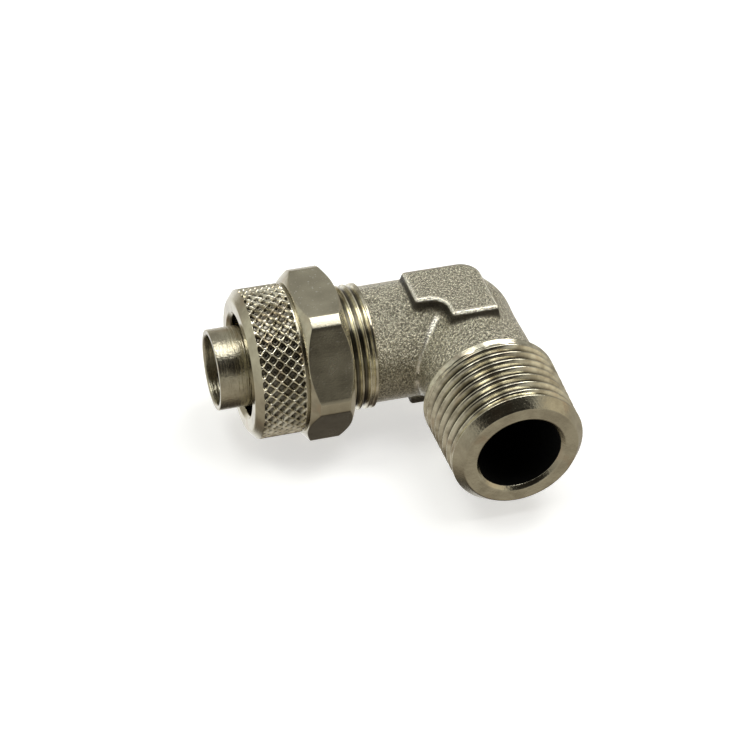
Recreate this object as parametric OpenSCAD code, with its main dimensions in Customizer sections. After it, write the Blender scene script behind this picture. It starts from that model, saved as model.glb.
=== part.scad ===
// Push-on elbow fitting, 90 degrees, with a knurled hexagon lock nut.
// One arm is a taper pipe thread that screws into a port. The other is a plain spigot for a
// plastic tube, which the lock nut clamps.
//
// Millimetres, +Z up. The origin is where the centre lines of the two arms cross. The threaded
// arm points along -Y and the tube arm along -X, so both lie in the plane z = 0. A distance
// along an arm is measured outwards from the origin.

/* [Forged corner] */
// Radius of the round corner
corner_r = 6.9; // [6.7:0.05:7.2]
// Radius of the tube arm's neck
neck_r = 7.2; // [6.9:0.05:7.3]
// Radius of the threaded arm's neck
port_neck_r = 7.1; // [6.8:0.05:7.3]
// Height of the wrench pads above and below the centre plane
pad_z = 8.3; // [7.6:0.1:9]
// Width of each leg of the L-shaped wrench pad
pad_w = 5.7; // [4:0.1:7]
// How far the pad's outer edges stand past the centre lines
pad_out = 2.6; // [1.5:0.1:3.5]
// Distance along each arm at which the pad's leg ends
pad_leg = 6.6; // [5:0.1:8]

/* [Taper pipe thread, R 3/8] */
// Distance along the arm of the machined step behind the thread
port_back = 12.45; // [11.5:0.05:13]
// Distance along the arm of the end face
port_end = 23.9; // [23:0.1:26]
// Crest radius at the machined step
port_crest_r = 8.3; // [8.2:0.05:8.5]
// Crest to crest spacing
port_pitch = 1.337; // [1.337]
// Depth of the thread
port_depth = 0.8; // [0.6:0.05:0.86]
// Distance along the arm of the first groove
port_first_groove = 13.86; // [13.8:0.02:14]
// Radius of the bore
port_bore_r = 5; // [4:0.1:5.2]

/* [Nut thread, 1 mm pitch] */
// Distance along the arm at which the thread starts, beside the forged neck
nut_thread_back = 12.3; // [12:0.05:13]
// Distance along the arm at which the thread ends, inside the nut
nut_thread_front = 22.4; // [21.5:0.1:23]
// Crest radius
nut_crest_r = 7.75; // [7.7:0.05:8]
// Crest to crest spacing
nut_pitch = 1; // [1]
// Depth of the thread
nut_depth = 0.6; // [0.5:0.02:0.62]
// Radial gap between the body's thread and the nut's thread
nut_gap = 0.08; // [0.04:0.01:0.1]

/* [Spigot] */
// Distance along the arm of the spigot's tip
spigot_end = 31.1; // [29:0.1:33]
// Radius of the spigot, for a tube of 10 mm bore
spigot_r = 4.95; // [4.8:0.05:5]
// Radius of the spigot's bore
spigot_bore_r = 4.25; // [3.5:0.05:4.3]
// Radius of the clamping cone at its large end
cone_r = 6.2; // [5.5:0.1:6.4]
// Length of the clamping cone
cone_len = 2.2; // [1.5:0.1:2.5]

/* [Lock nut] */
// Distance along the arm of the nut's back face
nut_back = 15.7; // [15.2:0.1:16.5]
// Distance along the arm of the nut's front face
nut_front = 27.7; // [27:0.1:28.5]
// Width across the hexagon's flats
hex_af = 19; // [18.5:0.1:19.5]
// Diameter that the hexagon's corners are turned to
hex_corner_d = 21.1; // [20.5:0.1:21.4]
// Distance along the arm at which the hexagon's flats end
hex_front = 21.25; // [20.5:0.05:21.3]
// Radius over the knurl
knurl_r = 9.17; // [9:0.01:9.3]
// Radius of the narrow groove between hexagon and knurl
groove_r = 8.7; // [8.4:0.05:8.9]
// Distance along the arm at which the knurl starts, in front of the groove
knurl_back = 21.55; // [21.4:0.05:22]
// Distance along the arm at which the knurl ends and the front chamfer starts
knurl_front = 26.8; // [26:0.05:27]
// Radius of the flat front face, outside the chamfer
front_face_r = 8.1; // [7.5:0.05:8.5]
// Radius of the tube hole, for a tube of 12 mm outside diameter
tube_hole_r = 6.2; // [6.05:0.05:6.4]

/* [Hidden] */
$fn = 96;

port_taper = 1 / 32;          // loss of radius per mm along a 1:16 taper
port_flank = tan(27.5);       // half angle of a Whitworth form thread
nut_flank = tan(30);          // half angle of a metric thread
port_grooves = 7;
nut_first_groove = 13;        // the nut's thread is in phase with the body's
nut_turns = 9;                // grooves on the body

port_chamfer = 1.25;          // length of the cone between the end face and the first crest
port_face_r = 7;              // outer radius of the flat end face
mouth_chamfer = 0.45;         // at the mouth of the port's bore
tip_chamfer = 0.2;            // at the tip of the spigot, inside and outside
drill_tip = tan(31);          // slope of a drill's 118 degree point
port_drill_past = 2.5;        // how far the port's drill ran past the centre

hex_end_slope = tan(39);      // slope of the chamfer that rounds the hexagon's ends
hex_end_r = 9.35;             // radius at which that chamfer starts
nut_mouth_chamfer = 0.45;     // at the tube hole
nut_back_chamfer = 0.35;      // at the nut's threaded end
nut_thread_end = 23;          // where the nut's thread runs out into its relief
relief_r = nut_crest_r + 0.2;
clamp_back = 23.4;            // the nut's own cone, about one tube wall outside the body's
clamp_back_r = 7.4;
clamp_front = 25.4;

neck_taper = 5;               // length over which the tube arm's neck grows from the corner's radius
port_neck_taper = 9;          // and the threaded arm's
pad_round = 2.4;              // radius of the pad's outer corner
pad_fillet = 2;               // radius of the pad's inner corner

brass = "#a89f8c";
bright = "#c9bfa8";

// Turns a shape drawn up Z so that it runs out along the tube arm
module tube_arm() rotate([0, -90, 0]) children();

// Turns a shape drawn up Z so that it runs out along the threaded arm
module threaded_arm() rotate([90, 0, 0]) children();

// Outline points of a thread: one V groove per turn. Each turn starts and ends on the crest.
function thread_points(first, turns, pitch, depth, flank, crest, taper) = [
    for (turn = [0:turns - 1], side = [-1, 0, 1])
        let (z = first + turn * pitch, r = crest - taper * (z - first))
        [side == 0 ? r - depth : r, z + side * depth * flank]
];

// Outline points of the thread that the nut runs on, moved out by a gap
function nut_thread(gap) =
    thread_points(nut_first_groove, nut_turns, nut_pitch, nut_depth, nut_flank, nut_crest_r + gap, 0);

// The male taper thread with its step, its end chamfer and the neck behind it
module port_thread() {
    first_crest_r = port_crest_r - port_taper * (port_end - port_chamfer - port_first_groove);
    rotate_extrude()
        polygon(concat(
            [[0, 0], [corner_r, 0], [port_neck_r, port_neck_taper], [port_neck_r, port_back],
                [port_crest_r, port_back]],
            thread_points(port_first_groove, port_grooves, port_pitch, port_depth, port_flank,
                port_crest_r, port_taper),
            [[first_crest_r, port_end - port_chamfer], [port_face_r, port_end], [0, port_end]]
        ));
}

// The tube arm: forged neck, nut thread, clamping cone and spigot
module spigot_arm() {
    cone_front = nut_thread_front + cone_len;
    front_flank = nut_depth * nut_flank;
    rotate_extrude()
        polygon(concat(
            [[0, 0], [corner_r, 0], [neck_r, neck_taper], [neck_r, nut_thread_back],
                [nut_crest_r, nut_thread_back]],
            nut_thread(0),
            [
                [nut_crest_r, nut_thread_front - front_flank - nut_gap],
                [nut_crest_r - nut_depth, nut_thread_front],
                [cone_r, nut_thread_front],
                [spigot_r, cone_front],
                [spigot_r, spigot_end - tip_chamfer],
                [spigot_r - tip_chamfer, spigot_end],
                [0, spigot_end]
            ]
        ));
}

// The raised L that a wrench or a vice grips, on both sides of the centre plane
module wrench_pads() {
    inner = pad_out - pad_w;
    translate([0, 0, -pad_z])
        linear_extrude(2 * pad_z)
            offset(r = -pad_fillet) offset(delta = pad_fillet)
                intersection() {
                    union() {
                        translate([-pad_leg, inner]) square([pad_leg + pad_out, pad_w]);
                        translate([inner, -pad_leg]) square([pad_w, pad_leg + pad_out]);
                    }
                    offset(r = pad_round) offset(delta = -pad_round)
                        translate([-2 * pad_leg, -2 * pad_leg]) square(2 * pad_leg + pad_out);
                }
}

// The port's bore, with a chamfered mouth and the point that the drill leaves
module port_bore() {
    depth = port_end + port_drill_past;
    translate([0, 0, -port_drill_past]) {
        cylinder(r = port_bore_r, h = depth + 1);
        translate([0, 0, -port_bore_r * drill_tip])
            cylinder(r1 = 0, r2 = port_bore_r, h = port_bore_r * drill_tip);
        translate([0, 0, depth - mouth_chamfer])
            cylinder(r1 = port_bore_r, r2 = port_bore_r + mouth_chamfer, h = mouth_chamfer);
    }
}

// The spigot's bore, with a chamfered mouth
module spigot_bore() {
    cylinder(r = spigot_bore_r, h = spigot_end + 1);
    translate([0, 0, spigot_end - tip_chamfer])
        cylinder(r1 = spigot_bore_r, r2 = spigot_bore_r + tip_chamfer, h = tip_chamfer);
}

// The one-piece forged and machined elbow
module elbow_body() {
    color(brass)
        difference() {
            union() {
                sphere(r = corner_r);
                wrench_pads();
                threaded_arm() port_thread();
                tube_arm() spigot_arm();
            }
            threaded_arm() port_bore();
            tube_arm() spigot_bore();
        }
}

// A solid of revolution as wide as the hexagon's turned corners, with chamfered ends
module hex_blank() {
    corner_r = hex_corner_d / 2;
    chamfer = (corner_r - hex_end_r) * hex_end_slope;
    rotate_extrude()
        polygon([
            [0, nut_back], [hex_end_r, nut_back], [corner_r, nut_back + chamfer],
            [corner_r, hex_front - chamfer], [hex_end_r, hex_front], [0, hex_front]
        ]);
}

// The front of the nut: the groove, the knurled band and the chamfer
module knurl_band() {
    rotate_extrude()
        polygon([
            [0, nut_back], [groove_r, nut_back], [groove_r, knurl_back], [knurl_r, knurl_back],
            [knurl_r, knurl_front], [front_face_r, nut_front], [0, nut_front]
        ]);
}

// The hollow of the nut: thread, relief, clamping cone and tube hole
module nut_hollow() {
    crest = nut_crest_r + nut_gap;
    rotate_extrude()
        polygon(concat(
            [[0, nut_back - 1], [crest + nut_back_chamfer, nut_back - 1],
                [crest + nut_back_chamfer, nut_back], [crest, nut_back + nut_back_chamfer]],
            [for (point = nut_thread(nut_gap)) if (point[1] > nut_back + nut_back_chamfer) point],
            [
                [relief_r, nut_thread_end],
                [relief_r, clamp_back],
                [clamp_back_r, clamp_back],
                [tube_hole_r, clamp_front],
                [tube_hole_r, nut_front - nut_mouth_chamfer],
                [tube_hole_r + nut_mouth_chamfer, nut_front],
                [tube_hole_r + nut_mouth_chamfer, nut_front + 1],
                [0, nut_front + 1]
            ]
        ));
}

// The one-piece lock nut, seated on the body's thread
module lock_nut() {
    color(bright)
        tube_arm()
            difference() {
                union() {
                    knurl_band();
                    intersection() {
                        hex_blank();
                        rotate([0, 0, 30])
                            cylinder(r = hex_af / 2 / cos(30), h = nut_front, $fn = 6);
                    }
                }
                nut_hollow();
            }
}

elbow_body();
lock_nut();
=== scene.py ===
"""A nickel-plated push-on elbow with a knurled lock nut, over its CAD frame.

The frame is the CAD's: metres, +Z up, the origin where the two arms' centre lines cross. The threaded
arm points along -Y and the tube arm along -X. Shapes are worked out in millimetres, with a distance
along an arm measured outwards from the origin, and scaled once, when a mesh is made.
"""

import math

import bmesh
import bpy
import numpy as np
from mathutils import Matrix, Vector


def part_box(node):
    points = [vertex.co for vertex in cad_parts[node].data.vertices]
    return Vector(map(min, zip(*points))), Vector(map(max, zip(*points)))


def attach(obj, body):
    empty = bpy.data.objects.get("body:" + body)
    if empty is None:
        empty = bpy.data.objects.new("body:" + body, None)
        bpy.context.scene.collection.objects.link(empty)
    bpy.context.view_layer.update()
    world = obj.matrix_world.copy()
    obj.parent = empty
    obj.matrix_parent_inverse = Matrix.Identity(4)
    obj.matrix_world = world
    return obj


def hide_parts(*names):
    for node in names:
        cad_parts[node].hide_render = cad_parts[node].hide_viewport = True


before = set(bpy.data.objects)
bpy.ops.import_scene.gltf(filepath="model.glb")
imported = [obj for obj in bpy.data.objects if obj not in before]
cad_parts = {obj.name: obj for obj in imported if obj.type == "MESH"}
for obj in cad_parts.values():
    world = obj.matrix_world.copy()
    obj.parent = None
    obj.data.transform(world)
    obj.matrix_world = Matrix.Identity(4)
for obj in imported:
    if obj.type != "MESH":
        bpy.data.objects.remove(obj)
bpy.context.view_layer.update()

MM = 0.001
TURN = 2 * math.pi
SIXTH = TURN / 6
BODY_NODE, NUT_NODE = "elbow_body", "lock_nut"

# Points closer than WELD_MM become one, and an edge that turns by more than SHARP_ANGLE looks sharp
WELD_MM, SHARP_ANGLE = 1e-3, math.radians(50)

# The ends of the arms and the lowest point, from the frame
SPIGOT_END = -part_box(BODY_NODE)[0][0] / MM
PORT_END = -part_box(BODY_NODE)[0][1] / MM
NUT_FRONT = -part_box(NUT_NODE)[0][0] / MM
NUT_BACK = -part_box(NUT_NODE)[1][0] / MM
FLOOR_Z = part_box(NUT_NODE)[0][2]

# Forged corner. The forging reaches ARM_OVERLAP into a machined arm.
CORNER_R, NECK_R, PORT_NECK_R = 6.9, 7.2, 7.1
NECK_TAPER, PORT_NECK_TAPER, NECK_FILLET = 5, 9, 0.35
PAD_Z, PAD_OUT, PAD_W, PAD_LEG = 8.3, 2.6, 5.7, 6.6
PAD_ROUND, PAD_FILLET, PAD_TIP_ROUND = 2.4, 2.0, 0.35
PAD_TOP_ROUND, PAD_FOOT_FILLET = 0.25, 0.4
PAD_DRAFT = math.radians(10)
ARM_OVERLAP = 0.1

# The parting line: a band TRIM_DEPTH deep where the flash was trimmed off
TRIM_DEPTH, TRIM_HALF, TRIM_FILLET = 0.09, 1.1, 1.0
TRIM_SIDE_ROUND, TRIM_EDGE_ROUND = 0.1, 0.04

# The raised bead where the necks meet. It fades in and out over these ranges: of -(x + y), away from
# the corner, of its height, under the pad, and of its height, off the centre plane.
BEAD_HEIGHT, BEAD_HALF = 0.13, 0.6
BEAD_FROM_CORNER, BEAD_UNDER_PAD, BEAD_OFF_PLANE = (5.5, 6.4), (6.0, 6.5), (0.3, 0.8)

# Painted shade and shine on the forging: how far the painted shade and the shine reach from a pad's wall, the
# heights between which the painted shade gives way to shine, and half the width of the shine on the bead. The
# shine is polish with a painted highlight.
SHADE_REACH, SHINE_REACH, PAD_TOP_BAND = (0.2, 0.55), (0.2, 0.45), (PAD_Z - 0.45, PAD_Z - 0.1)
BEAD_SHINE_HALF = 0.48

# Taper pipe thread. PORT_ROOT is half the width of its groove's flat bottom.
PORT_BACK, PORT_CREST_R, PORT_TAPER = 12.45, 8.3, 1 / 32
PORT_PITCH, PORT_DEPTH, PORT_FIRST_GROOVE = 1.337, 0.8, 13.86
PORT_START_TURN, PORT_ROOT, PORT_FLANK = 0.3, 0.13, math.tan(math.radians(27.5))
PORT_EDGE_BLUNT, PORT_ROOT_BLUNT = 0.18, 0.14
PORT_FACE_R, PORT_CHAMFER, PORT_BORE_R, PORT_MOUTH = 7.0, 1.25, 5.0, 0.45
PORT_DRILL_PAST, DRILL_TIP = 2.5, math.radians(31)
PORT_CHAMFER_AT = PORT_END - PORT_CHAMFER

# The stretch that its helix covers, where its groove deepens and ends, and the collar behind the
# groove: a cone that falls away from the step
PORT_WALL = (PORT_BACK + 0.1, PORT_CHAMFER_AT - 0.12)
PORT_RUN_IN = (PORT_BACK + 0.75, PORT_BACK + 1.2)
PORT_RUN_OUT = (PORT_CHAMFER_AT - 0.4, PORT_CHAMFER_AT - 0.12)
COLLAR_SLOPE, COLLAR_START, COLLAR_END = 0.42, 0.08, (PORT_BACK + 0.6, PORT_BACK + 0.85)

# Nut thread, clamping cone and spigot. SPIGOT_WALL is the stretch that the body's helix covers, and
# NUT_RUN_IN is where its groove deepens.
NUT_THREAD_BACK, NUT_THREAD_FRONT = 12.3, 22.4
NUT_CREST_R, NUT_PITCH, NUT_DEPTH = 7.75, 1.0, 0.6
NUT_ROOT, NUT_FLANK = 0.08, math.tan(math.radians(30))
NUT_EDGE_BLUNT, NUT_ROOT_BLUNT = 0.07, 0.1
SPIGOT_WALL = (NUT_THREAD_BACK + 0.15, NUT_THREAD_FRONT - 0.4)
NUT_RUN_IN = (NUT_THREAD_BACK + 0.25, NUT_THREAD_BACK + 0.8)
CONE_R, CONE_LEN, SPIGOT_R, SPIGOT_BORE_R = 6.2, 2.2, 4.95, 4.25
SPIGOT_MOUTH, SPIGOT_MOUTH_DEPTH = 0.15, 0.2

# Lock nut: hexagon, groove, knurl and front face. The hexagon's turned corners lie within HEX_END_BAND
# of its ends.
HEX_AF, HEX_CORNER_R, HEX_FRONT, HEX_END_R = 19.0, 10.55, 21.25, 9.35
HEX_END_SLOPE, HEX_END_BAND = math.tan(math.radians(39)), 0.9
GROOVE_R, KNURL_BACK, KNURL_FRONT, KNURL_R = 8.7, 21.55, 26.8, 9.17
FRONT_FACE_R, TUBE_HOLE_R, TUBE_HOLE_MOUTH = 8.1, 6.2, 0.45

# Lock nut: its thread, the relief in front of that, and its clamping cone
NUT_INNER_R, NUT_MOUTH, NUT_INNER_DEPTH = NUT_CREST_R + 0.09, 0.3, NUT_DEPTH * 0.8
NUT_WALL = (NUT_BACK + NUT_MOUTH, KNURL_BACK)
RELIEF_R, CLAMP_BACK_R, CLAMP_BACK, CLAMP_FRONT = NUT_CREST_R + 0.2, 7.4, 23.4, 25.4

# Just in front of the groove, the hexagon's mesh ends and the knurled band's first row lies
GRIP_SEAM = KNURL_BACK + 0.05

# Knurl: two crossing sets of ridges. A ridge's half top and its flank are parts of the spacing.
KNURLS, KNURL_STEP, KNURL_DEPTH = 40, 1.4, 0.48
RIDGE_HALF_TOP, RIDGE_FLANK = 0.05, 0.2
RIDGE_CROSSING_BLUNT, RIDGE_TOP_BLUNT, PIT_BLUNT = 0.04, 0.2, 0.1
KNURL_STARTS = (KNURL_BACK + 0.12, KNURL_BACK + 0.3)
KNURL_ENDS = (KNURL_FRONT - 0.2, KNURL_FRONT + 0.05)

# Mesh fineness: columns about an arm, and rows in a turn of thread
PORT_COLUMNS, SPIGOT_COLUMNS, FLAT_COLUMNS, CORNER_COLUMNS = 256, 224, 25, 9
PORT_ROWS, SPIGOT_ROWS, NUT_ROWS = 18, 16, 10


# ---------------------------------------------------------------- mesh tools

# Columns are where a shape's own x, y and z go. Its z runs out along the arm and its x points up. The
# last pair are the row axes that the arms lie along.
TUBE_ARM = np.array([[0, 0, -1], [0, 1, 0], [1, 0, 0]], float)
THREADED_ARM = np.array([[0, -1, 0], [0, 0, -1], [1, 0, 0]], float)
ROW_AXES = np.eye(3)
TUBE_AXIS, THREADED_AXIS = 0, 1


def smooth_min(a, b, k):
    """The lesser of two fields, with a fillet of about k where they cross."""
    return 0.5 * (a + b - np.sqrt((a - b) ** 2 + k * k))


def smooth_max(a, b, k):
    """The greater of two fields, with an edge rounded by about k."""
    return -smooth_min(-a, -b, k)


def arc_max(a, b, r):
    """The greater of two distances, with an outer corner of radius r."""
    return np.minimum(-r, np.maximum(a, b)) + np.hypot(np.maximum(a + r, 0), np.maximum(b + r, 0))


def arc_min(a, b, r):
    """The lesser of two distances, with an inner corner of radius r."""
    return -arc_max(-a, -b, r)


def add_piece(name, points, faces, axes, materials, body, node, look, shade_and_polish=None):
    """Makes a closed piece from points in millimetres. look picks each face's material, and the last argument
    holds each point's painted shade and its shine, a polish with a painted highlight, from 0 to 1."""
    mesh = bpy.data.meshes.new(name)
    mesh.from_pydata((points @ axes.T).tolist(), [], faces.tolist())
    for material in materials:
        mesh.materials.append(material)
    mesh.polygons.foreach_set("material_index", look.astype(np.int32))
    for layer, amount in (shade_and_polish or {}).items():
        mesh.attributes.new(layer, "FLOAT", "POINT").data.foreach_set("value", amount.astype(np.float32))
    work = bmesh.new()
    work.from_mesh(mesh)
    bmesh.ops.remove_doubles(work, verts=work.verts, dist=WELD_MM)
    bmesh.ops.recalc_face_normals(work, faces=work.faces)
    work.to_mesh(mesh)
    work.free()
    mesh.transform(Matrix.Scale(MM, 4))
    mesh.shade_smooth()
    mesh.set_sharp_from_angle(angle=SHARP_ANGLE)
    piece = bpy.data.objects.new(name, mesh)
    bpy.context.scene.collection.objects.link(piece)
    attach(piece, body)
    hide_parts(node)


def turned(corners, steps=4):
    """Outline points (radius, distance) from corners (radius, distance, rounding). A rounding stops
    short of the middle of a short side."""
    most = 0.45
    corners = [np.array(c, float) for c in corners]
    out = [corners[0][:2]]
    for before, corner, after in zip(corners, corners[1:], corners[2:]):
        p, r = corner[:2], corner[2] if len(corner) > 2 else 0
        if r == 0:
            out.append(p)
            continue
        back, on = before[:2] - p, after[:2] - p
        cut_back = min(r, most * np.linalg.norm(back))
        cut_on = min(r, most * np.linalg.norm(on))
        a = p + back / np.linalg.norm(back) * cut_back
        b = p + on / np.linalg.norm(on) * cut_on
        for t in np.linspace(0, 1, steps + 1):
            out.append((1 - t) ** 2 * a + 2 * t * (1 - t) * p + t * t * b)
    out.append(corners[-1][:2])
    return np.array(out)


def held(outline):
    """Adds a point near both ends of each long stretch, which keeps its shading flat."""
    reach = 0.05
    out = [outline[0]]
    for a, b in zip(outline, outline[1:]):
        length = np.linalg.norm(b - a)
        if length > 3 * reach:
            out += [a + (b - a) * reach / length, b + (a - b) * reach / length]
        out.append(b)
    return np.array(out)


def round_points(radius, angle, along):
    """Points from polar coordinates about the arm."""
    return np.stack([radius * np.cos(angle), radius * np.sin(angle), along], -1).reshape(-1, 3)


def even(count):
    """Evenly spaced angles about the arm."""
    return np.arange(count) / count * TURN


def lathe(outline, angle, shape=None):
    """Turns an open outline about the arm. shape(radius, angle, distance) gives the radius."""
    count = len(angle)
    radius, angle, along = np.broadcast_arrays(outline[:, :1], angle, outline[:, 1:])
    if shape:
        radius = shape(radius, angle, along)
    return round_points(radius, angle, along), ring_faces(len(outline), count)


def ring_faces(rings, count):
    """The faces between rings of points."""
    rows, col = np.arange(rings - 1)[:, None] * count, np.arange(count)
    nxt = (col + 1) % count
    return np.stack([rows + col, rows + nxt, rows + count + nxt, rows + count + col], -1).reshape(-1, 4)


def helix(start, end, pitch, radius, angle, per_turn):
    """A helical wall, right-handed outwards. radius(turn, distance) gives the radius, where turn is
    the number of turns along the helix. Its rows follow the helix, and end in plain rings."""
    count = len(angle)
    rows = math.ceil((end - start) / pitch + 1) * per_turn + 1
    turn = start / pitch - 1 + np.arange(rows)[:, None] / per_turn
    along = np.clip((turn + angle / TURN) * pitch, start, end)
    turn, angle, along = np.broadcast_arrays(turn, angle, along)
    points = round_points(radius(turn, along), angle, along)
    i, j = np.arange(rows - 1)[:, None], np.arange(count)
    step = np.where(j == count - 1, per_turn, 0)
    nxt = (j + 1) % count
    faces = np.stack([i * count + j, (i + step) * count + nxt,
                      (i + 1 + step) * count + nxt, (i + 1) * count + j], -1)
    inside = np.broadcast_to(i + 1 + step < rows, faces.shape[:2])
    return points, faces[inside]


def joined(*parts):
    """Several (points, faces) as one."""
    points, faces, base = [], [], 0
    for p, f in parts:
        points.append(p)
        faces.append(f + base)
        base += len(p)
    return np.concatenate(points), np.concatenate(faces)


def in_bore(points, faces, radius):
    """Which faces lie on or inside a radius about the arm."""
    margin = 0.02
    r = np.hypot(points[:, 0], points[:, 1])
    return (r[faces] < radius + margin).all(1)


def v_groove(offset, depth, flank, root, blunt_edge, blunt_root):
    """How deep a V groove is at an offset from its middle. root is half the width of its flat bottom."""
    deepest = depth * 0.97
    straight = depth - np.maximum(np.abs(offset) - root, 0) / flank
    cut = smooth_max(straight, np.zeros_like(straight), blunt_edge)
    return smooth_min(cut, np.full_like(cut, deepest), blunt_root)


def fade(x, start, end):
    """A smooth step, from 0 at start to 1 at end."""
    t = np.clip((x - start) / (end - start), 0, 1)
    return t * t * (3 - 2 * t)


# ---------------------------------------------------------------- forged corner

def l_shape(x, y):
    """Distance in plan from the L-shaped wrench pad."""
    inner = PAD_OUT - PAD_W
    square = arc_max(np.maximum(-PAD_LEG - x, x - PAD_OUT), np.maximum(-PAD_LEG - y, y - PAD_OUT), 0)
    outer = arc_max(x - PAD_OUT, y - PAD_OUT, PAD_ROUND)
    notch = arc_min(inner - x, inner - y, PAD_FILLET)
    return arc_max(arc_max(square, outer, 0), notch, PAD_TIP_ROUND)


def passages(x, y, z):
    """Distance from the two bores that meet in the corner."""
    port = np.hypot(x, z) - PORT_BORE_R
    tip = port * math.sin(DRILL_TIP) + (y - PORT_DRILL_PAST) * math.cos(DRILL_TIP)
    return np.minimum(np.maximum(port, tip), np.maximum(np.hypot(y, z) - SPIGOT_BORE_R, x))


def mitre_line(x, y, height, half_width):
    """1 on the line where the two necks meet, from below the pad to the centre plane, and 0 away from it."""
    line = 1 - fade(np.abs(x - y) / math.sqrt(2), half_width / 3, half_width)
    upright = (1 - fade(height, *BEAD_UNDER_PAD)) * fade(height, *BEAD_OFF_PLANE)
    return line * fade(-(x + y), *BEAD_FROM_CORNER) * upright


def forging(p):
    """Signed distance from the forged corner with its necks, pads, trimmed parting line and passages."""
    x, y, z = p[..., 0], p[..., 1], p[..., 2]
    tube_r = CORNER_R + (NECK_R - CORNER_R) * fade(-x, 0, NECK_TAPER)
    port_r = CORNER_R + (PORT_NECK_R - CORNER_R) * fade(-y, 0, PORT_NECK_TAPER)
    tube_neck = np.sqrt(np.maximum(x, 0) ** 2 + y * y + z * z) - tube_r
    port_neck = np.sqrt(x * x + np.maximum(y, 0) ** 2 + z * z) - port_r
    body = smooth_min(tube_neck, port_neck, NECK_FILLET)
    body = body - BEAD_HEIGHT * mitre_line(x, y, np.abs(z), BEAD_HALF)
    tube_plan = np.hypot(np.maximum(x, 0), y) - tube_r
    port_plan = np.hypot(x, np.maximum(y, 0)) - port_r
    trimmed = arc_min(tube_plan, port_plan, TRIM_FILLET) + TRIM_DEPTH
    band = smooth_max(trimmed, np.abs(z) - TRIM_HALF, TRIM_SIDE_ROUND)
    body = smooth_min(body, band, TRIM_SIDE_ROUND)
    body = smooth_max(body, trimmed, TRIM_EDGE_ROUND)
    height = np.abs(z) - PAD_Z
    wall = l_shape(x, y) * math.cos(PAD_DRAFT) + height * math.sin(PAD_DRAFT)
    body = smooth_min(body, smooth_max(wall, height, PAD_TOP_ROUND), PAD_FOOT_FILLET)
    body = np.maximum(body, -passages(x, y, z))
    ends = np.maximum(-ARM_OVERLAP - NUT_THREAD_BACK - x, -ARM_OVERLAP - PORT_BACK - y)
    return np.maximum(body, ends)


def on_surface(field, p, passes):
    """Moves points onto field = 0 along its slope. The least slope keeps a step short in a crease."""
    step, least = 0.01, 0.2
    for _ in range(passes):
        value = field(p)
        slope = np.stack([field(p + step * e) - field(p - step * e) for e in np.eye(3)], -1) / (2 * step)
        size = np.maximum((slope ** 2).sum(-1), least)
        p = p - (value / size)[:, None] * slope
    return p


def surface_net(field, low, high, step):
    """A closed mesh of quads over field = 0, one point in each grid cell that the surface crosses."""
    axes = [np.arange(a, b + step, step) for a, b in zip(low, high)]
    inside = field(np.stack(np.meshgrid(*axes, indexing="ij"), -1)) < 0
    corners = [inside[i:inside.shape[0] - 1 + i, j:inside.shape[1] - 1 + j, k:inside.shape[2] - 1 + k]
               for i in (0, 1) for j in (0, 1) for k in (0, 1)]
    filled = sum(c.astype(np.int8) for c in corners)
    cells = (filled > 0) & (filled < 8)
    number = np.full(cells.shape, -1)
    number[cells] = np.arange(cells.sum())
    points = np.array(low) + (np.argwhere(cells) + 0.5) * step
    faces = []
    for axis in range(3):
        u, v = (axis + 1) % 3, (axis + 2) % 3
        a = inside.take(range(0, inside.shape[axis] - 1), axis)
        b = inside.take(range(1, inside.shape[axis]), axis)
        at = np.argwhere(a != b)
        ring = []
        for du, dv in ((0, 0), (1, 0), (1, 1), (0, 1)):
            cell = at.copy()
            cell[:, u] -= du
            cell[:, v] -= dv
            ring.append(number[tuple(cell.T)])
        faces.append(np.stack(ring, -1))
    faces = np.concatenate(faces)
    points = on_surface(field, points, 4)
    for _ in range(3):
        points = on_surface(field, relaxed(points, faces), 2)
    return points, faces


def relaxed(points, faces):
    """Each point halfway to the mean of the faces around it."""
    middle = points[faces].mean(1)
    total, count = np.zeros_like(points), np.zeros(len(points))
    for k in range(4):
        np.add.at(total, faces[:, k], middle)
        np.add.at(count, faces[:, k], 1)
    return 0.5 * points + 0.5 * total / count[:, None]


def make_forging(materials):
    """The forged corner, plated outside, with a painted shade, almost black, in its passages."""
    step = 0.17
    margin, near = 1, 0.05
    low = (-NUT_THREAD_BACK - margin, -PORT_BACK - margin, -PAD_Z - margin)
    high = (NECK_R + margin, NECK_R + margin, PAD_Z + margin)
    points, faces = surface_net(forging, low, high, step)
    x, y, z = points.T
    in_passage = (passages(x, y, z) < near)[faces].all(1)
    add_piece("forged_corner", points, faces, ROW_AXES, materials, "elbow", BODY_NODE,
              in_passage, forging_shade_and_polish(x, y, np.abs(z)))


def forging_shade_and_polish(x, y, height):
    """A painted shade lies along the pads' walls. The pads' edges and the bead between the necks are polished
    and get a painted highlight.
    """
    wall = np.abs(l_shape(x, y))
    wall_side = 1 - fade(height, *PAD_TOP_BAND)
    painted_shade = (1 - fade(wall, *SHADE_REACH)) * wall_side
    edge = (1 - fade(wall, *SHINE_REACH)) * (1 - wall_side)
    bead = mitre_line(x, y, height, BEAD_SHINE_HALF)
    return {"painted_shade": painted_shade, "polish_and_highlight": np.maximum(edge, bead)}


# ---------------------------------------------------------------- machined arms

def port_crest(along):
    """The crest radius: level as far as PORT_FIRST_GROOVE, then tapering to the end."""
    return PORT_CREST_R - PORT_TAPER * np.maximum(along - PORT_FIRST_GROOVE, 0)


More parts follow.
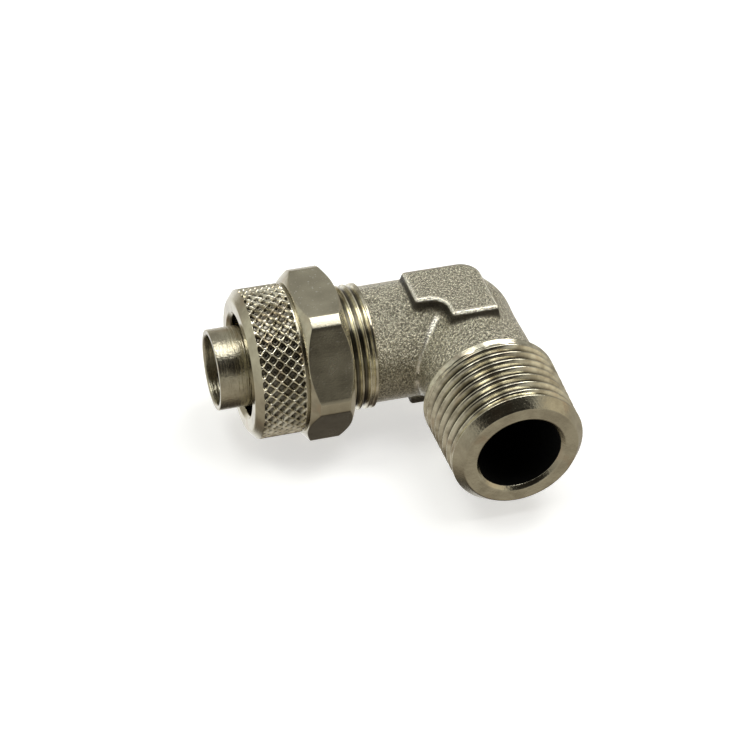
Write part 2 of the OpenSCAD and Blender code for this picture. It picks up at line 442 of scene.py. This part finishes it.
def port_thread_radius(turn, along):
    """The taper thread: a 55 degree groove that runs out at the collar and before the end chamfer."""
    first = PORT_FIRST_GROOVE / PORT_PITCH + PORT_START_TURN
    offset = (turn - first - np.round(turn - first)) * PORT_PITCH
    cut = v_groove(offset, PORT_DEPTH, PORT_FLANK, PORT_ROOT, PORT_EDGE_BLUNT, PORT_ROOT_BLUNT)
    cut = cut * fade(along, *PORT_RUN_IN)
    cut = cut * (1 - fade(along, *PORT_RUN_OUT))
    collar = COLLAR_SLOPE * (along - PORT_BACK - COLLAR_START) * (1 - fade(along, *COLLAR_END))
    return port_crest(along) - np.maximum(cut, collar)


def make_port_arm(materials):
    """The threaded arm: thread, chamfered end and bore. Its materials are thread, end and bore."""
    start, end = PORT_WALL
    around = even(PORT_COLUMNS)
    wall = helix(start, end, PORT_PITCH, port_thread_radius, around, PORT_ROWS)
    rest = held(turned([
        (port_crest(end), end), (port_crest(PORT_CHAMFER_AT), PORT_CHAMFER_AT, 0.06),
        (PORT_FACE_R, PORT_END, 0.12), (PORT_BORE_R + PORT_MOUTH, PORT_END, 0.12),
        (PORT_BORE_R, PORT_END - PORT_MOUTH, 0.1), (PORT_BORE_R, PORT_BACK),
        (PORT_CREST_R, PORT_BACK, 0.1), (PORT_CREST_R, start),
    ]))
    tip = lathe(rest, around)
    points, faces = joined(wall, tip)
    look = np.repeat([0, 1], [len(wall[1]), len(tip[1])])
    look[in_bore(points, faces, PORT_BORE_R)] = 2
    add_piece("port_thread", points, faces, THREADED_ARM, materials,
              "elbow", BODY_NODE, look)


def metric_groove(turn, depth):
    """The 60 degree groove that the body's thread and the nut's share."""
    offset = (turn - np.round(turn)) * NUT_PITCH
    return v_groove(offset, depth, NUT_FLANK, NUT_ROOT, NUT_EDGE_BLUNT, NUT_ROOT_BLUNT)


def nut_thread_radius(turn, along):
    """The thread that the nut runs on, which runs out beside the forged neck."""
    return NUT_CREST_R - metric_groove(turn, NUT_DEPTH) * fade(along, *NUT_RUN_IN)


def make_tube_arm(materials):
    """The tube arm in front of its neck. Its materials are the thread and the cone and spigot."""
    start, end = SPIGOT_WALL
    around = even(SPIGOT_COLUMNS)
    wall = helix(start, end, NUT_PITCH, nut_thread_radius, around, SPIGOT_ROWS)
    rest = held(turned([
        (NUT_CREST_R, end), (NUT_CREST_R - NUT_DEPTH, NUT_THREAD_FRONT, 0.1), (CONE_R, NUT_THREAD_FRONT, 0.1),
        (SPIGOT_R, NUT_THREAD_FRONT + CONE_LEN, 0.3), (SPIGOT_R, SPIGOT_END, 0.14),
        (SPIGOT_BORE_R + SPIGOT_MOUTH, SPIGOT_END, 0.1),
        (SPIGOT_BORE_R, SPIGOT_END - SPIGOT_MOUTH_DEPTH, 0.1), (SPIGOT_BORE_R, NUT_THREAD_BACK),
        (NUT_CREST_R, NUT_THREAD_BACK, 0.08), (NUT_CREST_R, start),
    ]))
    rest = lathe(rest, around)
    points, faces = joined(wall, rest)
    look = np.repeat([0, 1], [len(wall[1]), len(rest[1])])
    add_piece("spigot_arm", points, faces, TUBE_ARM, materials, "elbow", BODY_NODE, look)


# ---------------------------------------------------------------- lock nut

def hex_angles():
    """Angles about the arm. A narrow column on each edge between a flat and a turned corner softens it."""
    edge, soft = math.acos(HEX_AF / 2 / HEX_CORNER_R), 0.003
    flat = np.linspace(-edge + soft, edge - soft, FLAT_COLUMNS)
    corner = np.linspace(edge + soft, SIXTH - edge - soft, CORNER_COLUMNS)
    return np.concatenate([np.concatenate([flat, corner]) + k * SIXTH for k in range(6)])


def hex_reach(angle):
    """How far out the hexagon stands at an angle: its flats, with the corners turned down."""
    flat = HEX_AF / 2 / np.cos((angle + SIXTH / 2) % SIXTH - SIXTH / 2)
    return np.minimum(flat, HEX_CORNER_R)


def knurled(radius, angle, along):
    """Diamond knurling: two crossing sets of ridges with steep pits between them."""
    around, out = angle / TURN * KNURLS, along / KNURL_STEP
    first, second = (np.abs(line - np.round(line)) for line in (around + out, around - out))
    depth = (smooth_min(first, second, RIDGE_CROSSING_BLUNT) - RIDGE_HALF_TOP) / RIDGE_FLANK
    depth = smooth_max(depth, np.zeros_like(depth), RIDGE_TOP_BLUNT)
    depth = smooth_min(depth, np.ones_like(depth), PIT_BLUNT)
    margin = 0.1
    band = fade(along, *KNURL_STARTS) * (radius > KNURL_R - margin)
    band = band * (1 - fade(along, *KNURL_ENDS))
    return radius - depth * KNURL_DEPTH * band


def inner_thread_radius(turn, along):
    """The nut's own thread, which runs out at both ends of its stretch."""
    start, end = NUT_WALL
    cut = metric_groove(turn, NUT_INNER_DEPTH)
    return NUT_INNER_R + cut * fade(along, start, start + NUT_MOUTH) * (1 - fade(along, end - NUT_MOUTH, end))


def hex_end_rows(reach, inner_r):
    """Rings (radius, depth) over one end of the hexagon: its face, its turned corners and the start of
    its flats. Rings that lie close together round the edges a little."""
    run = (reach - HEX_END_R) * HEX_END_SLOPE
    face = [(inner_r, 0.0), (HEX_END_R - 0.1, 0.0), (HEX_END_R - 0.02, 0.01), (HEX_END_R + 0.03, 0.04)]
    rows = [(np.full_like(reach, r), np.full_like(reach, z)) for r, z in face]
    rows += [(HEX_END_R + (reach - HEX_END_R) * t, run * t) for t in (0.3, 0.6, 0.95)]
    return rows + [(reach - 0.004, run + 0.01), (reach, run + 0.05), (reach, run + 0.3)]


def make_hexagon(materials):
    """The hexagon with the nut's thread inside. Its materials are the flats and the turned corners."""
    angle = hex_angles()
    reach = hex_reach(angle)
    start, end = NUT_WALL
    rows = [(NUT_INNER_R, start)]
    rows += [(r, NUT_BACK + z) for r, z in hex_end_rows(reach, NUT_INNER_R + NUT_MOUTH)]
    rows += [(r, HEX_FRONT - z) for r, z in reversed(hex_end_rows(reach, GROOVE_R))]
    rows += [(GROOVE_R, GRIP_SEAM), (NUT_INNER_R + 0.2, GRIP_SEAM), (NUT_INNER_R, end)]
    radii, places = (np.array([np.broadcast_to(row[k], reach.shape) for row in rows]) for k in (0, 1))
    outside = round_points(radii, np.broadcast_to(angle, radii.shape), places)
    inside = helix(start, end, NUT_PITCH, inner_thread_radius, angle, NUT_ROWS)
    points, faces = joined((outside, ring_faces(len(rows), len(angle))), inside)
    x, y, along = points[faces].mean(1).T
    radius = np.hypot(x, y)
    near_end = (along < NUT_BACK + HEX_END_BAND) | (along > HEX_FRONT - HEX_END_BAND)
    margin = 0.01
    off_flat = np.abs(hex_reach(np.arctan2(y, x)) - radius) > margin
    add_piece("nut_hexagon", points, faces, TUBE_ARM, materials, "nut", NUT_NODE,
              (radius > HEX_END_R) & near_end & off_flat)


def make_grip(materials):
    """The front of the nut. Its materials are the knurl and the smooth chamfer, face and inside."""
    rows = 72
    band = np.stack([np.full(rows, KNURL_R), np.linspace(GRIP_SEAM, KNURL_FRONT, rows)], -1)
    front = turned([
        (KNURL_R, KNURL_FRONT), (KNURL_R - 0.04, KNURL_FRONT + 0.03, 0.02), (FRONT_FACE_R, NUT_FRONT, 0.2),
        (TUBE_HOLE_R + TUBE_HOLE_MOUTH, NUT_FRONT, 0.1), (TUBE_HOLE_R, NUT_FRONT - TUBE_HOLE_MOUTH, 0.1),
        (TUBE_HOLE_R, CLAMP_FRONT, 0.1), (CLAMP_BACK_R, CLAMP_BACK), (RELIEF_R, CLAMP_BACK),
        (RELIEF_R, KNURL_BACK), (KNURL_R - 0.05, KNURL_BACK, 0.03), (KNURL_R, GRIP_SEAM),
    ], 2)
    outline = np.concatenate([band, held(front)[1:]])
    points, faces = lathe(outline, even(720), knurled)
    middle = points[faces].mean(1)
    smooth = (middle[:, 2] > KNURL_FRONT) | (np.hypot(middle[:, 0], middle[:, 1]) < KNURL_R - 1)
    add_piece("nut_grip", points, faces, TUBE_ARM, materials, "nut", NUT_NODE, smooth)


# ---------------------------------------------------------------- materials

def make_material(name, colour, rough, metallic=1.0):
    """A principled material, with its tree, its shader and the piece's own coordinates in metres."""
    material = bpy.data.materials.new(name)
    material.use_nodes = True
    tree = material.node_tree
    shader = tree.nodes["Principled BSDF"]
    shader.inputs["Base Color"].default_value = (*colour, 1)
    shader.inputs["Roughness"].default_value = rough
    shader.inputs["Metallic"].default_value = metallic
    place = tree.nodes.new("ShaderNodeTexCoord").outputs["Object"]
    return material, tree, shader, place


def vector_math(tree, operation, a, b=None):
    """A vector operation. The second vector may be fixed or another node's output."""
    node = tree.nodes.new("ShaderNodeVectorMath")
    node.operation = operation
    tree.links.new(a, node.inputs[0])
    if isinstance(b, tuple):
        node.inputs[1].default_value = b
    elif b is not None:
        tree.links.new(b, node.inputs[1])
    return node.outputs["Value" if operation in ("LENGTH", "DOT_PRODUCT") else "Vector"]


def noise(tree, place, size_mm, detail=2.0, roughness=0.5):
    """A noise from 0 to 1 whose features are about size_mm across."""
    node = tree.nodes.new("ShaderNodeTexNoise")
    node.inputs["Scale"].default_value = 1 / (size_mm * MM)
    node.inputs["Detail"].default_value = detail
    node.inputs["Roughness"].default_value = roughness
    tree.links.new(place, node.inputs["Vector"])
    return node.outputs["Fac"]


def ranged(tree, value, from_low, from_high, low=0.0, high=1.0):
    """A value carried from one range to another, and held inside it."""
    node = tree.nodes.new("ShaderNodeMapRange")
    node.inputs["From Min"].default_value = from_low
    node.inputs["From Max"].default_value = from_high
    node.inputs["To Min"].default_value = low
    node.inputs["To Max"].default_value = high
    tree.links.new(value, node.inputs["Value"])
    return node.outputs["Result"]


def combined(tree, operation, a, b):
    """A sum, difference or product of two values that vary over the piece."""
    node = tree.nodes.new("ShaderNodeMath")
    node.operation = operation
    tree.links.new(a, node.inputs[0])
    tree.links.new(b, node.inputs[1])
    return node.outputs["Value"]


def mixed(tree, factor, low, high):
    """Two colours mixed by a factor. Either may be another node's output."""
    node = tree.nodes.new("ShaderNodeMix")
    node.data_type = "RGBA"
    tree.links.new(factor, node.inputs["Factor"])
    for socket, colour in ((node.inputs["A"], low), (node.inputs["B"], high)):
        if isinstance(colour, tuple):
            socket.default_value = (*colour, 1)
        else:
            tree.links.new(colour, socket)
    return node.outputs["Result"]


def bump(tree, height, depth_mm, normal=None):
    """Relief of up to depth_mm, over another bump's normal if there is one."""
    node = tree.nodes.new("ShaderNodeBump")
    node.inputs["Distance"].default_value = depth_mm * MM
    tree.links.new(height, node.inputs["Height"])
    if normal:
        tree.links.new(normal, node.inputs["Normal"])
    return node.outputs["Normal"]


# Colours of the plate, brighter on threads and knurl, of what shows through it or marks it, and of the
# painted shade in grooves, pits and along the pads' walls
NICKEL = (0.64, 0.60, 0.46)
NICKEL_WORN = (0.92, 0.88, 0.71)
KNURL_WORN = (1.0, 0.96, 0.81)
NICKEL_DULL = (0.50, 0.46, 0.35)
NICKEL_COPPERY = (0.56, 0.44, 0.31)
NICK = (0.95, 0.93, 0.86)
# A painted shade that stands in for the shade in grooves, pits and at the pads' walls
PAINTED_SHADE_COLOUR = (0.035, 0.028, 0.02)

# Colours of the forging's grain, painted darker in its hollows and lighter on its tops, of the painted
# highlight on its polished edges, of the painted shade in the port's passage and of the table
GRAIN_HOLLOW_SHADE, GRAIN_TOP_HIGHLIGHT, EDGE_HIGHLIGHT = (0.25, 0.23, 0.165), (1.0, 0.96, 0.79), (1.0, 0.97, 0.84)
# Painted shade for the passages, standing in for the shade deep in a bore
BORE_SHADE, BORE_SHADE_DARK = (0.012, 0.012, 0.011), (0.004, 0.004, 0.004)
TABLE = (0.86, 0.86, 0.85)


def about_axis(tree, place, axis):
    """The radius about the arm with this axis, and coordinates that hardly change round it, so a noise
    over them runs in rings."""
    drift = 0.03
    outwards = tuple(0.0 if k == axis else 1.0 for k in range(3))
    along = tuple(1.0 if k == axis else drift for k in range(3))
    radius = vector_math(tree, "LENGTH", vector_math(tree, "MULTIPLY", place, outwards))
    combine = tree.nodes.new("ShaderNodeCombineXYZ")
    tree.links.new(radius, combine.inputs[(axis + 1) % 3])
    lines = vector_math(tree, "ADD", vector_math(tree, "MULTIPLY", place, along), combine.outputs["Vector"])
    return radius, lines


def layer_of(tree, name):
    """A layer of the piece's points, such as its painted shade."""
    node = tree.nodes.new("ShaderNodeAttribute")
    node.attribute_name = name
    return node.outputs["Fac"]


def forged_plate():
    """Shot-blasted forging under nickel: a pebbled grain with a painted shade in its hollows and a painted
    highlight on its tops, a painted shade along the pads' walls, and polished edges and bead where the grain
    is worn down, with a painted highlight."""
    material, tree, shader, place = make_material("forged_nickel", NICKEL, rough=0.24)
    patches = noise(tree, place, size_mm=2.5)
    pebbles = noise(tree, place, size_mm=0.26, detail=4.0, roughness=0.6)
    grain = noise(tree, place, size_mm=0.15, detail=1.0)
    polish_and_highlight = layer_of(tree, "polish_and_highlight")
    # The grain's colour follows its relief: painted shade in the hollows and a painted highlight on the tops
    colour = mixed(tree, ranged(tree, pebbles, 0.33, 0.67), GRAIN_HOLLOW_SHADE, GRAIN_TOP_HIGHLIGHT)
    # Painted shade along the pads' walls and at their feet
    colour = mixed(tree, ranged(tree, layer_of(tree, "painted_shade"), 0, 1, 0, 0.9), colour, PAINTED_SHADE_COLOUR)
    # Painted highlight on the polished pad edges and the bead, which are also smoother and less bumpy
    colour = mixed(tree, ranged(tree, polish_and_highlight, 0, 1, 0, 0.9), colour, EDGE_HIGHLIGHT)
    tree.links.new(colour, shader.inputs["Base Color"])
    dull = ranged(tree, patches, 0.3, 0.7, 0.20, 0.27)
    rough = combined(tree, "SUBTRACT", dull, ranged(tree, polish_and_highlight, 0, 1, 0, 0.06))
    tree.links.new(rough, shader.inputs["Roughness"])
    worn_down = ranged(tree, polish_and_highlight, 0, 1, 1, 0.3)
    normal = bump(tree, combined(tree, "MULTIPLY", pebbles, worn_down), depth_mm=0.35)
    tree.links.new(bump(tree, grain, depth_mm=0.03, normal=normal), shader.inputs["Normal"])
    return material


def turned_plate(name, axis, rough, marks_mm=0.012, specks_mm=0.004, shade_radii=None, shade_most=0.9, taper=0.0,
                 plate=NICKEL):
    """Machined and plated: turning marks about the arm, faint stains and specks. plate is the colour of
    the clean metal. The two arguments after specks_mm paint shade into grooves and pits: the pair of radii
    between which that painted shade fades out, and how dark it is at its deepest. On the threaded arm, taper
    is the radius lost per length, and those radii are as if the taper went on to the origin."""
    material, tree, shader, place = make_material(name, plate, rough)
    radius, lines = about_axis(tree, place, axis)
    stains = noise(tree, place, size_mm=1.8, detail=3.0)
    coppery = noise(tree, place, size_mm=2.7)
    specks = noise(tree, place, size_mm=0.3, detail=3.0)
    marks = noise(tree, lines, size_mm=0.16, detail=3.0, roughness=0.6)
    colour = mixed(tree, ranged(tree, stains, 0.35, 0.6), NICKEL_DULL, plate)
    colour = mixed(tree, ranged(tree, coppery, 0.58, 0.72, 0, 0.6), colour, NICKEL_COPPERY)
    # Painted shade: darker towards the bottom of a groove or pit, where shade falls
    if shade_radii:
        depth = radius
        if taper:
            lean = vector_math(tree, "DOT_PRODUCT", place, (0.0, -taper, 0.0))
            depth = combined(tree, "ADD", radius, lean)
        painted_shade = ranged(tree, depth, shade_radii[0] * MM, shade_radii[1] * MM, shade_most, 0)
        colour = mixed(tree, painted_shade, colour, PAINTED_SHADE_COLOUR)
    tree.links.new(colour, shader.inputs["Base Color"])
    tree.links.new(ranged(tree, marks, 0.3, 0.7, rough - 0.04, rough + 0.06), shader.inputs["Roughness"])
    normal = bump(tree, marks, marks_mm)
    tree.links.new(bump(tree, specks, specks_mm, normal), shader.inputs["Normal"])
    return material


def drawn_plate():
    """The nut's flats: drawn bar with faint scratches along it and a few pale nicks."""
    material, tree, shader, place = make_material("nut_nickel", NICKEL, rough=0.25)
    drawn_out = vector_math(tree, "MULTIPLY", place, (0.06, 1.0, 1.0))
    scratches = noise(tree, drawn_out, size_mm=0.14)
    stains = noise(tree, place, size_mm=3.0)
    nicks = noise(tree, place, size_mm=0.24, detail=0.0)
    colour = mixed(tree, ranged(tree, stains, 0.3, 0.7), NICKEL_DULL, NICKEL)
    colour = mixed(tree, ranged(tree, nicks, 0.74, 0.79, 0, 0.5), colour, NICK)
    tree.links.new(colour, shader.inputs["Base Color"])
    tree.links.new(ranged(tree, stains, 0.3, 0.7, 0.22, 0.28), shader.inputs["Roughness"])
    normal = bump(tree, scratches, depth_mm=0.002)
    tree.links.new(bump(tree, nicks, depth_mm=0.004, normal=normal), shader.inputs["Normal"])
    return material


def bore_shade_material():
    """The port's passage: a painted shade, almost black, where the deep bore lies in shade."""
    material, tree, shader, place = make_material("dark_bore", BORE_SHADE, rough=0.55, metallic=0.0)
    shader.inputs["Specular IOR Level"].default_value = 0.2
    specks = noise(tree, place, size_mm=0.4, detail=3.0)
    colour = mixed(tree, specks, BORE_SHADE_DARK, BORE_SHADE)
    tree.links.new(colour, shader.inputs["Base Color"])
    tree.links.new(bump(tree, specks, depth_mm=0.01), shader.inputs["Normal"])
    return material


# ---------------------------------------------------------------- studio

def compass(azimuth, elevation):
    """A direction. Azimuth 0 is -Y, the side that the camera is on, and 90 is +X."""
    azimuth, elevation = math.radians(azimuth), math.radians(elevation)
    return Vector((math.sin(azimuth) * math.cos(elevation), -math.cos(azimuth) * math.cos(elevation),
                   math.sin(elevation)))


def make_camera():
    """The viewing angle, given by its azimuth, elevation and roll, and by what it looks at: a point that
    lies aim_right and aim_up millimetres from the origin, in the picture's plane."""
    azimuth, elevation, roll = -17.68, 40.02, math.radians(2.0)
    distance, aim_right, aim_up = 274.32, -11.23, -4.52
    back = compass(azimuth, elevation)
    level = Vector((0, 0, 1)).cross(back).normalized()
    steep = back.cross(level)
    right = level * math.cos(roll) + steep * math.sin(roll)
    up = steep * math.cos(roll) - level * math.sin(roll)
    place = (right * aim_right + up * aim_up + back * distance) * MM
    data = bpy.data.cameras.new("camera")
    data.lens, data.sensor_width = 109.26, 36
    data.clip_start = 0.01
    camera = bpy.data.objects.new("camera", data)
    camera.matrix_world = Matrix.Translation(place) @ Matrix((right, up, back)).transposed().to_4x4()
    bpy.context.scene.collection.objects.link(camera)
    bpy.context.scene.camera = camera


def make_softbox(name, towards, distance, size, radiance):
    """A square light, in metres, that faces the object, given how bright its surface looks."""
    middle = Vector((-0.01, -0.008, 0))
    data = bpy.data.lights.new(name, "AREA")
    data.shape, data.size = "SQUARE", size
    data.energy = radiance * math.pi * size * size
    light = bpy.data.objects.new(name, data)
    light.location = middle + towards * distance
    light.rotation_euler = (-towards).to_track_quat("-Z", "Y").to_euler()
    bpy.context.scene.collection.objects.link(light)


def make_room():
    """The room round the object: a pale gradient, with brighter walls, two lamps and a dark side in
    front, where the camera is."""
    world = bpy.data.worlds.new("studio")
    world.use_nodes = True
    tree = world.node_tree
    direction = tree.nodes.new("ShaderNodeTexCoord").outputs["Generated"]
    height = ranged(tree, vector_math(tree, "DOT_PRODUCT", direction, (0.0, 0.0, 1.0)), -1, 1)
    ramp = tree.nodes.new("ShaderNodeValToRGB")
    tree.links.new(height, ramp.inputs["Fac"])
    # Elevation and colour of each stop of the gradient
    stops = [(-90, (0.05, 0.04, 0.035)), (-68, (0.10, 0.09, 0.075)), (-56, (0.24, 0.21, 0.17)),
             (-44, (0.38, 0.35, 0.30)), (-25, (0.43, 0.40, 0.35)), (0, (0.38, 0.36, 0.32)),
             (30, (0.34, 0.335, 0.31)), (55, (0.42, 0.42, 0.40)), (75, (0.70, 0.70, 0.67))]
    ramp.color_ramp.elements.remove(ramp.color_ramp.elements[0])
    for k, (elevation, colour) in enumerate(stops):
        position = (math.sin(math.radians(elevation)) + 1) / 2
        stop = ramp.color_ramp.elements[0] if k == 0 else ramp.color_ramp.elements.new(position)
        stop.position = position
        stop.color = (*colour, 1)
    colour = ramp.outputs["Color"]
    # Direction of the middle, angles from it at which the patch is whole and has faded out, and colour
    patches = [
        (compass(-175, -36), 12, 40, (0.95, 0.95, 0.95)),  # low wall behind
        (compass(-105, 8), 12, 42, (0.62, 0.62, 0.56)),  # wall on the left
        (compass(64, 14), 8, 33, (0.66, 0.60, 0.48)),  # warm wall on the right
        (compass(-122, 65), 5, 16, (4.8, 4.8, 4.6)),  # lamp above, behind on the left
        (compass(119, 51), 5, 14, (6.2, 6.2, 6.0)),  # lamp above, behind on the right
        (compass(0, 50), 22, 40, (0.02, 0.018, 0.015)),  # dark side, in three parts
        (compass(-38, 37), 12, 30, (0.02, 0.018, 0.015)),
        (compass(11, 27), 8, 18, (0.04, 0.036, 0.03)),
    ]
    for towards, inner, outer, shade in patches:
        near = vector_math(tree, "DOT_PRODUCT", direction, tuple(towards))
        reach = ranged(tree, near, math.cos(math.radians(outer)), math.cos(math.radians(inner)))
        reach.node.interpolation_type = "SMOOTHSTEP"
        colour = mixed(tree, reach, colour, shade)
    tree.links.new(colour, tree.nodes["Background"].inputs["Color"])
    bpy.context.scene.world = world


def make_floor():
    """A pale table with a faint glow of its own. Reflections don't show it."""
    bpy.ops.mesh.primitive_plane_add(size=40, location=(0, 0, FLOOR_Z))
    floor = bpy.context.object
    floor.name = "floor"
    material, _, shader, _ = make_material("pale_floor", TABLE, rough=0.7, metallic=0.0)
    shader.inputs["Emission Color"].default_value = (1, 1, 1, 1)
    shader.inputs["Emission Strength"].default_value = 0.55
    floor.data.materials.append(material)
    floor.visible_glossy = False


# ---------------------------------------------------------------- the whole scene

forged, bore = forged_plate(), bore_shade_material()
turned_nut = turned_plate("nut_turned_nickel", TUBE_AXIS, rough=0.13)
# Painted shade in the port thread's grooves
port_thread = turned_plate("port_thread_nickel", THREADED_AXIS, rough=0.14, shade_radii=(8.12, 8.42),
                           taper=PORT_TAPER, plate=NICKEL_WORN)
port_end = turned_plate("port_end_nickel", THREADED_AXIS, rough=0.15, specks_mm=0.03)
# Painted shade in the nut thread's grooves
nut_thread = turned_plate("nut_thread_nickel", TUBE_AXIS, rough=0.15, shade_radii=(7.22, 7.45), shade_most=0.85,
                          plate=NICKEL_WORN)
make_forging([forged, bore])
make_port_arm([port_thread, port_end, bore])
spigot = turned_plate("spigot_nickel", TUBE_AXIS, rough=0.19, marks_mm=0.06, specks_mm=0.03)
make_tube_arm([nut_thread, spigot])
make_hexagon([drawn_plate(), turned_nut])
# Painted shade in the knurl's pits
knurl = turned_plate("knurl_nickel", TUBE_AXIS, rough=0.13, shade_radii=(8.7, 8.98), shade_most=0.82,
                     plate=KNURL_WORN)
make_grip([knurl, turned_nut])
make_floor()
make_room()
make_softbox("overhead", compass(85, 74), distance=0.5, size=0.22, radiance=3.0)
make_camera()
bpy.context.scene.view_settings.view_transform = "Standard"
